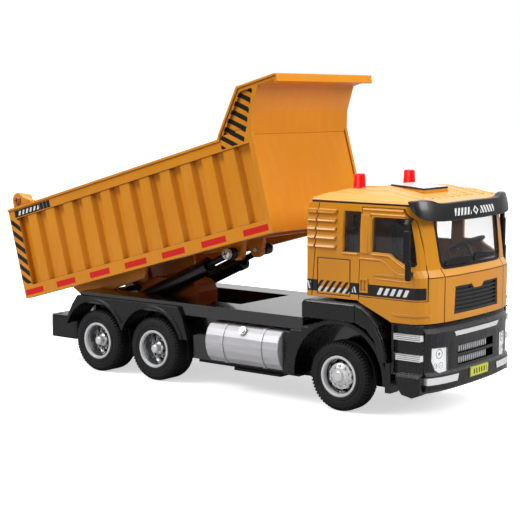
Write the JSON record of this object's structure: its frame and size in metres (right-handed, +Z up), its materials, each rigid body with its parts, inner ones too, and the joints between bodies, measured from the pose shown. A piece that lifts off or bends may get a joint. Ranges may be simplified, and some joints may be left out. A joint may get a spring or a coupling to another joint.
{
  "type": "toy dump truck",
  "caption": "Toy tipper truck with a hinged tipping bed, twin rams, opening doors, swinging tailgate and rolling wheels.",
  "frame": {"origin": "on the ground under the middle of the truck's overall length and width, bed at its stored tilt", "axes": "+X forward towards the cab, +Y to the truck's left, +Z up"},
  "size_m": [0.2064, 0.068, 0.1182],
  "materials": {
    "orange_paint": "gloss orange-yellow enamel on die-cast metal",
    "orange_plastic": "orange plastic, semi-gloss",
    "black_plastic": "glossy black plastic",
    "black_satin": "satin black plastic",
    "interior_black": "matt dark grey plastic",
    "silver_plastic": "satin silver painted plastic",
    "chrome_trim": "vacuum-chromed plastic",
    "tyre_rubber": "matt black rubber",
    "steel": "plain steel",
    "clear_glazing": "clear plastic glazing",
    "tinted_glazing": "smoke-tinted plastic glazing",
    "lamp_clear": "clear faceted lamp lens",
    "beacon_red": "translucent red plastic",
    "roof_grey": "pale grey plastic",
    "plate_yellow": "yellow plastic",
    "cell_steel": "nickel-plated cell can"
  },
  "bodies": {
    "chassis": {"chassis_frame": "black_plastic", "base_plate": "black_satin", "base_screws": "steel", "battery_cover": "black_satin", "button_cells": "cell_steel", "speaker": "black_satin", "rear_fender_right": "black_plastic", "rear_fender_left": "black_plastic", "rear_bumper": "black_plastic", "ram_cradle": "orange_plastic", "ram_base_pin": "steel", "bed_hinge_pin": "steel", "fuel_tank_right": "silver_plastic", "fuel_tank_left": "silver_plastic", "tank_straps": "silver_plastic", "tank_caps": "chrome_trim", "mudguard_right": "black_plastic", "mudguard_left": "black_plastic", "step_blocks": "black_plastic", "side_steps": "chrome_trim", "front_bumper": "black_plastic", "bumper_bar": "chrome_trim", "bumper_strips": "chrome_trim", "headlamp_lenses": "lamp_clear", "licence_plate": "plate_yellow", "cab_shell": "orange_paint", "grille": "black_satin", "windscreen": "clear_glazing", "quarter_windows": "tinted_glazing", "cab_interior": "interior_black", "steering_wheel": "interior_black", "wipers": "black_satin", "sun_visor": "black_plastic", "beacons": "beacon_red", "button_spring": "steel"},
    "bed": {"bed_tub": "orange_plastic", "ram_screws": "chrome_trim", "tailgate_screws": "steel"},
    "tailgate": {"tailgate": "orange_plastic"},
    "ram_tubes": {"ram_tubes": "black_plastic"},
    "ram_rods": {"ram_rods": "black_satin"},
    "door_right": {"door_right": "orange_paint", "door_glass_right": "tinted_glazing", "mirror_right": "black_plastic"},
    "door_left": {"door_left": "orange_paint", "door_glass_left": "tinted_glazing", "mirror_left": "black_plastic"},
    "roof_button": {"roof_button": "roof_grey"},
    "front_wheels": {"front_axle": "steel", "front_hubs": "chrome_trim", "front_tyres": "tyre_rubber"},
    "middle_wheels": {"middle_axle": "steel", "middle_hubs": "chrome_trim", "middle_tyres": "tyre_rubber"},
    "rear_wheels": {"rear_axle": "steel", "rear_hubs": "chrome_trim", "rear_tyres": "tyre_rubber"}
  },
  "joints": [
    {"name": "bed_tilt", "type": "hinge", "parent": "chassis", "child": "bed", "pos_m": [-0.071, 0, 0.0285], "axis": [0, -1, 0], "range_deg": [-15.34, 22.66]},
    {"name": "tailgate_swing", "type": "hinge", "parent": "bed", "child": "tailgate", "pos_m": [-0.09674, 0, 0.06747], "axis": [0, 1, 0], "range_deg": [0, 55]},
    {"name": "ram_tube_pitch", "type": "hinge", "parent": "chassis", "child": "ram_tubes", "pos_m": [-0.05051, 0, 0.026], "axis": [0, -1, 0], "range_deg": [-20, 30]},
    {"name": "ram_rod_pitch", "type": "hinge", "parent": "bed", "child": "ram_rods", "pos_m": [0.00098, 0, 0.05031], "axis": [0, -1, 0], "range_deg": [-5, 7]},
    {"name": "door_right_swing", "type": "hinge", "parent": "chassis", "child": "door_right", "pos_m": [0.09724, -0.028, 0.045], "axis": [0, 0, 1], "range_deg": [0, 60]},
    {"name": "door_left_swing", "type": "hinge", "parent": "chassis", "child": "door_left", "pos_m": [0.09724, 0.028, 0.045], "axis": [0, 0, -1], "range_deg": [0, 60]},
    {"name": "roof_button_press", "type": "slide", "parent": "chassis", "child": "roof_button", "axis": [0, 0, -1], "range_m": [0, 0.0008], "stiffness_N_per_m": 300, "springref_m": -0.0005, "deforming": ["button_spring"]},
    {"name": "front_wheel_spin", "type": "hinge", "parent": "chassis", "child": "front_wheels", "pos_m": [0.062, 0, 0.0125], "axis": [0, 1, 0], "continuous": true},
    {"name": "middle_wheel_spin", "type": "hinge", "parent": "chassis", "child": "middle_wheels", "pos_m": [-0.0251, 0, 0.0125], "axis": [0, 1, 0], "continuous": true},
    {"name": "rear_wheel_spin", "type": "hinge", "parent": "chassis", "child": "rear_wheels", "pos_m": [-0.0555, 0, 0.0125], "axis": [0, 1, 0], "continuous": true}
  ],
  "couplings": [
    {"joint": "ram_tube_pitch", "follows": "bed_tilt", "ratio": 1.28},
    {"joint": "ram_rod_pitch", "follows": "bed_tilt", "ratio": 0.28}
  ]
}
